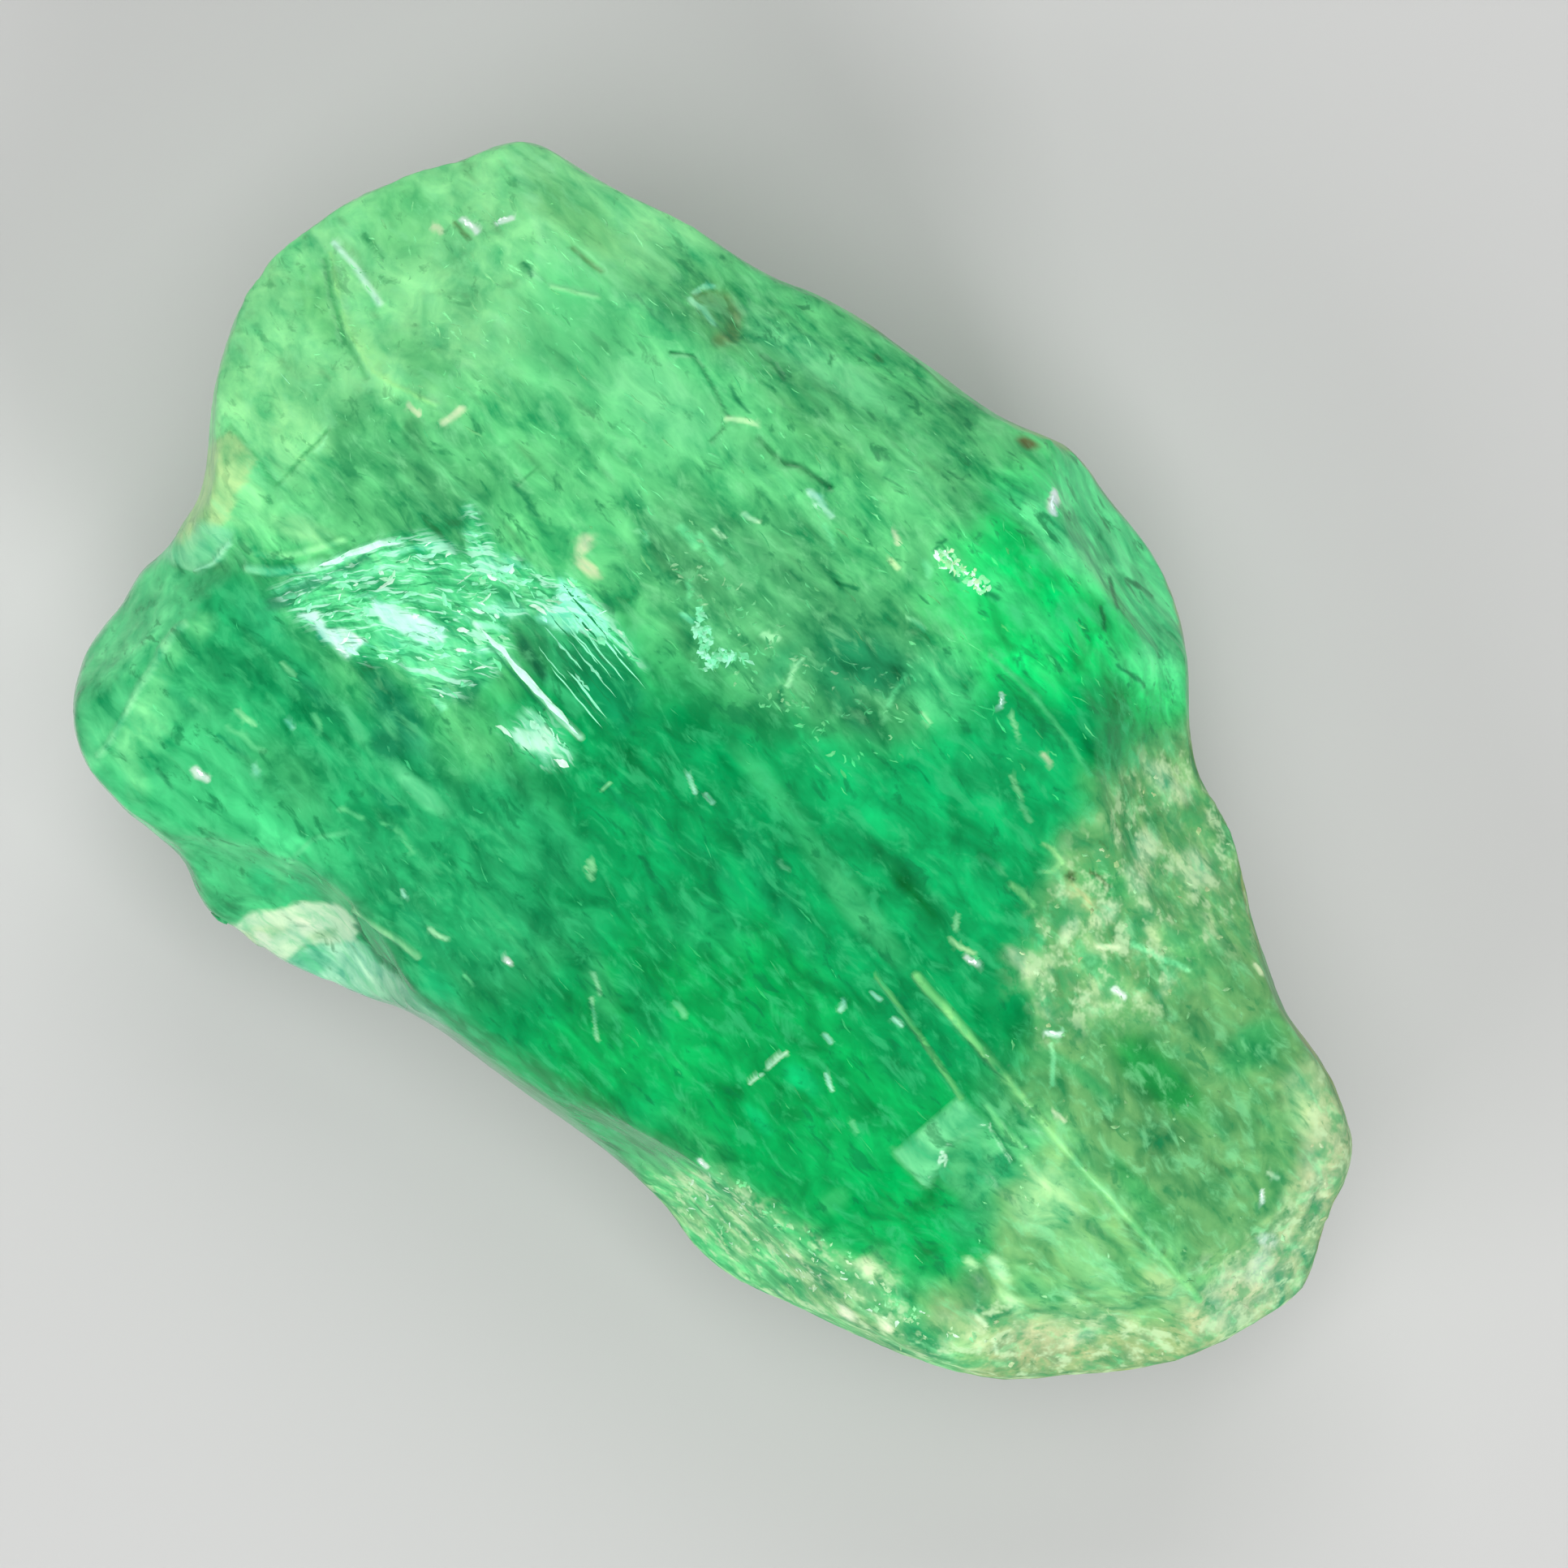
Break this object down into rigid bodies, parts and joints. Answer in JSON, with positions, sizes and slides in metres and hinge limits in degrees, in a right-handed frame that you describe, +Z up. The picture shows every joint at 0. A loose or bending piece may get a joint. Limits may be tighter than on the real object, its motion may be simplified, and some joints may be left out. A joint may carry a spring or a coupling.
{
  "type": "raw emerald crystal",
  "caption": "Rough natural emerald: a stubby translucent green beryl prism with striated faces, a pale crusted end and conchoidal breaks, lying on a flat face.",
  "frame": {"origin": "middle of the bounding box, at the level of the flat face that the stone lies on", "axes": "+X along the crystal's long axis (its c axis) to the pointed crusted end, +Y across it to the sharp upper edge, +Z up from the rest face"},
  "size_m": [0.024, 0.0154, 0.0096],
  "materials": {
    "emerald": "translucent, with silky striated faces and vitreous fractures"
  },
  "bodies": {
    "root": {"emerald_crystal": "emerald"}
  },
  "joints": []
}
